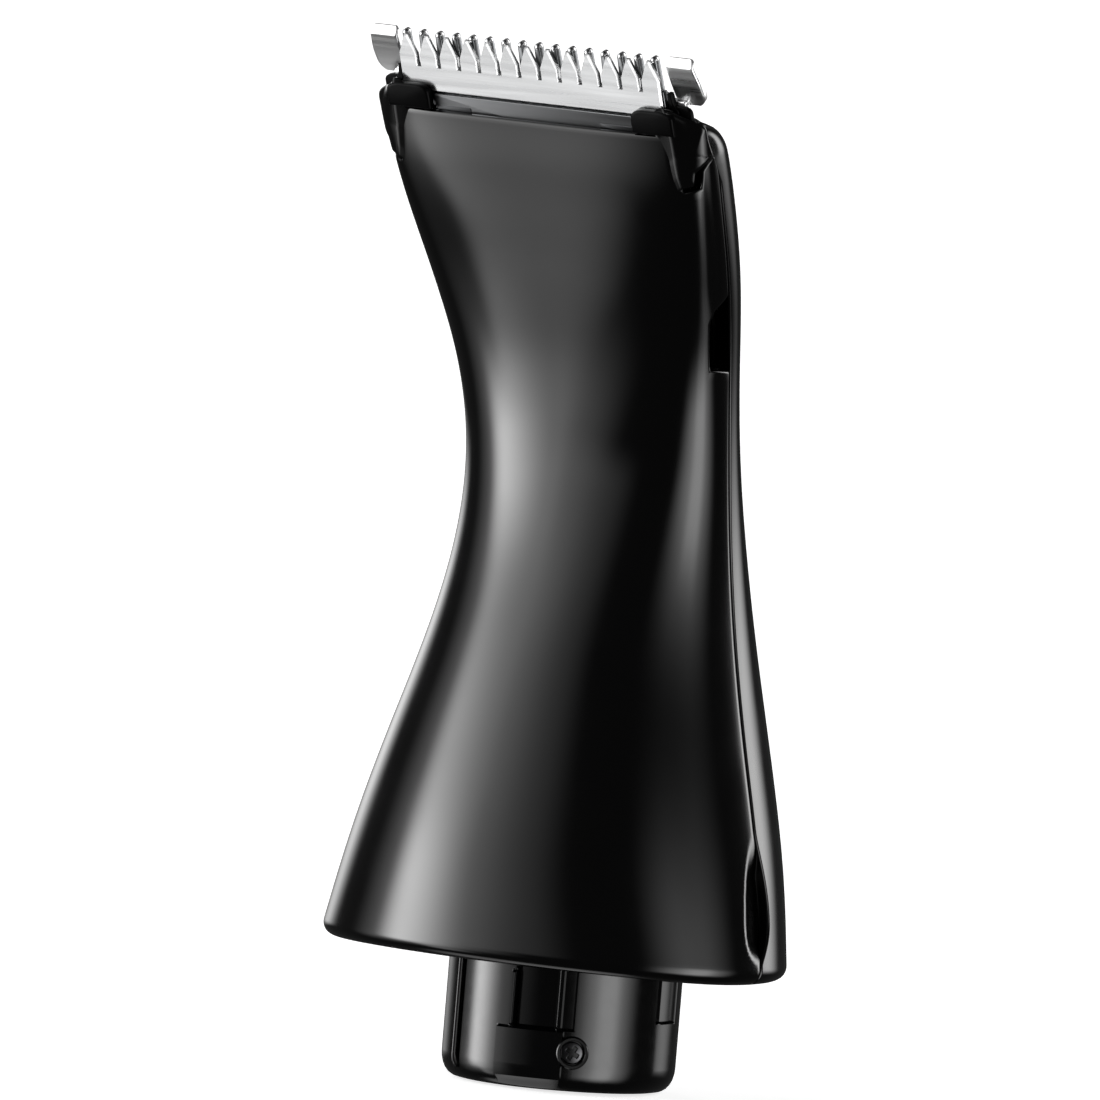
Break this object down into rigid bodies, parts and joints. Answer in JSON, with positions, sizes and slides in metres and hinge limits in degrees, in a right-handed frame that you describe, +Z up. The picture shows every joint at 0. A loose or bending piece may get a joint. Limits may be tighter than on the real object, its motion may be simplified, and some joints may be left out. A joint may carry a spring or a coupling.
{
  "type": "body groomer attachment head",
  "caption": "Attachment head of a body groomer: a flared two-shell housing with a twist-in coupling plug, a rocking drive lever and a pull-off toothed trimmer cartridge.",
  "frame": {"origin": "centre of the coupling plug's lower end face", "axes": "+Z up the plug's axis towards the blade, -Y to the front that the blade leans towards, +X to the right of a person who faces the front"},
  "size_m": [0.0448, 0.0317, 0.0921],
  "materials": {
    "gloss_black": "glossy moulded black",
    "satin_black": "satin moulded black",
    "blade_steel": "ground and polished",
    "strip_steel": "satin grey",
    "screw_steel": "dark plated",
    "lever_plastic": "natural",
    "bush_brass": "turned",
    "seal_rubber": "matt"
  },
  "bodies": {
    "housing": {"front_shell": "gloss_black", "rear_shell": "gloss_black", "coupling_plug": "satin_black", "spindle_guide": "satin_black", "plug_screw": "screw_steel", "base_screw_front_left": "screw_steel", "base_screw_front_right": "screw_steel", "base_screw_rear_left": "screw_steel", "base_screw_rear_right": "screw_steel", "pivot_pin": "screw_steel", "washer_front": "screw_steel", "washer_rear": "screw_steel", "dust_seal": "seal_rubber"},
    "lever": {"drive_lever": "lever_plastic", "lever_bush": "bush_brass", "drive_finger": "screw_steel"},
    "cartridge": {"blade_carrier": "satin_black", "fixed_comb": "blade_steel", "guide_plate": "strip_steel", "comb_screw_left": "screw_steel", "comb_screw_right": "screw_steel"},
    "cutter": {"moving_cutter": "blade_steel", "drive_block": "lever_plastic"}
  },
  "joints": [
    {"name": "lever_rock", "type": "hinge", "parent": "housing", "child": "lever", "pos_m": [0, 0, 0.04], "axis": [0, 1, 0], "range_deg": [-1.25, 1.25]},
    {"name": "cartridge_release", "type": "slide", "parent": "housing", "child": "cartridge", "axis": [0, -0.3746, 0.9272], "range_m": [0, 0.012]},
    {"name": "cutter_stroke", "type": "slide", "parent": "cartridge", "child": "cutter", "axis": [1, 0, 0], "range_m": [-0.001, 0.001]}
  ],
  "couplings": [
    {"joint": "cutter_stroke", "follows": "lever_rock", "m_per_rad": 0.0449}
  ]
}
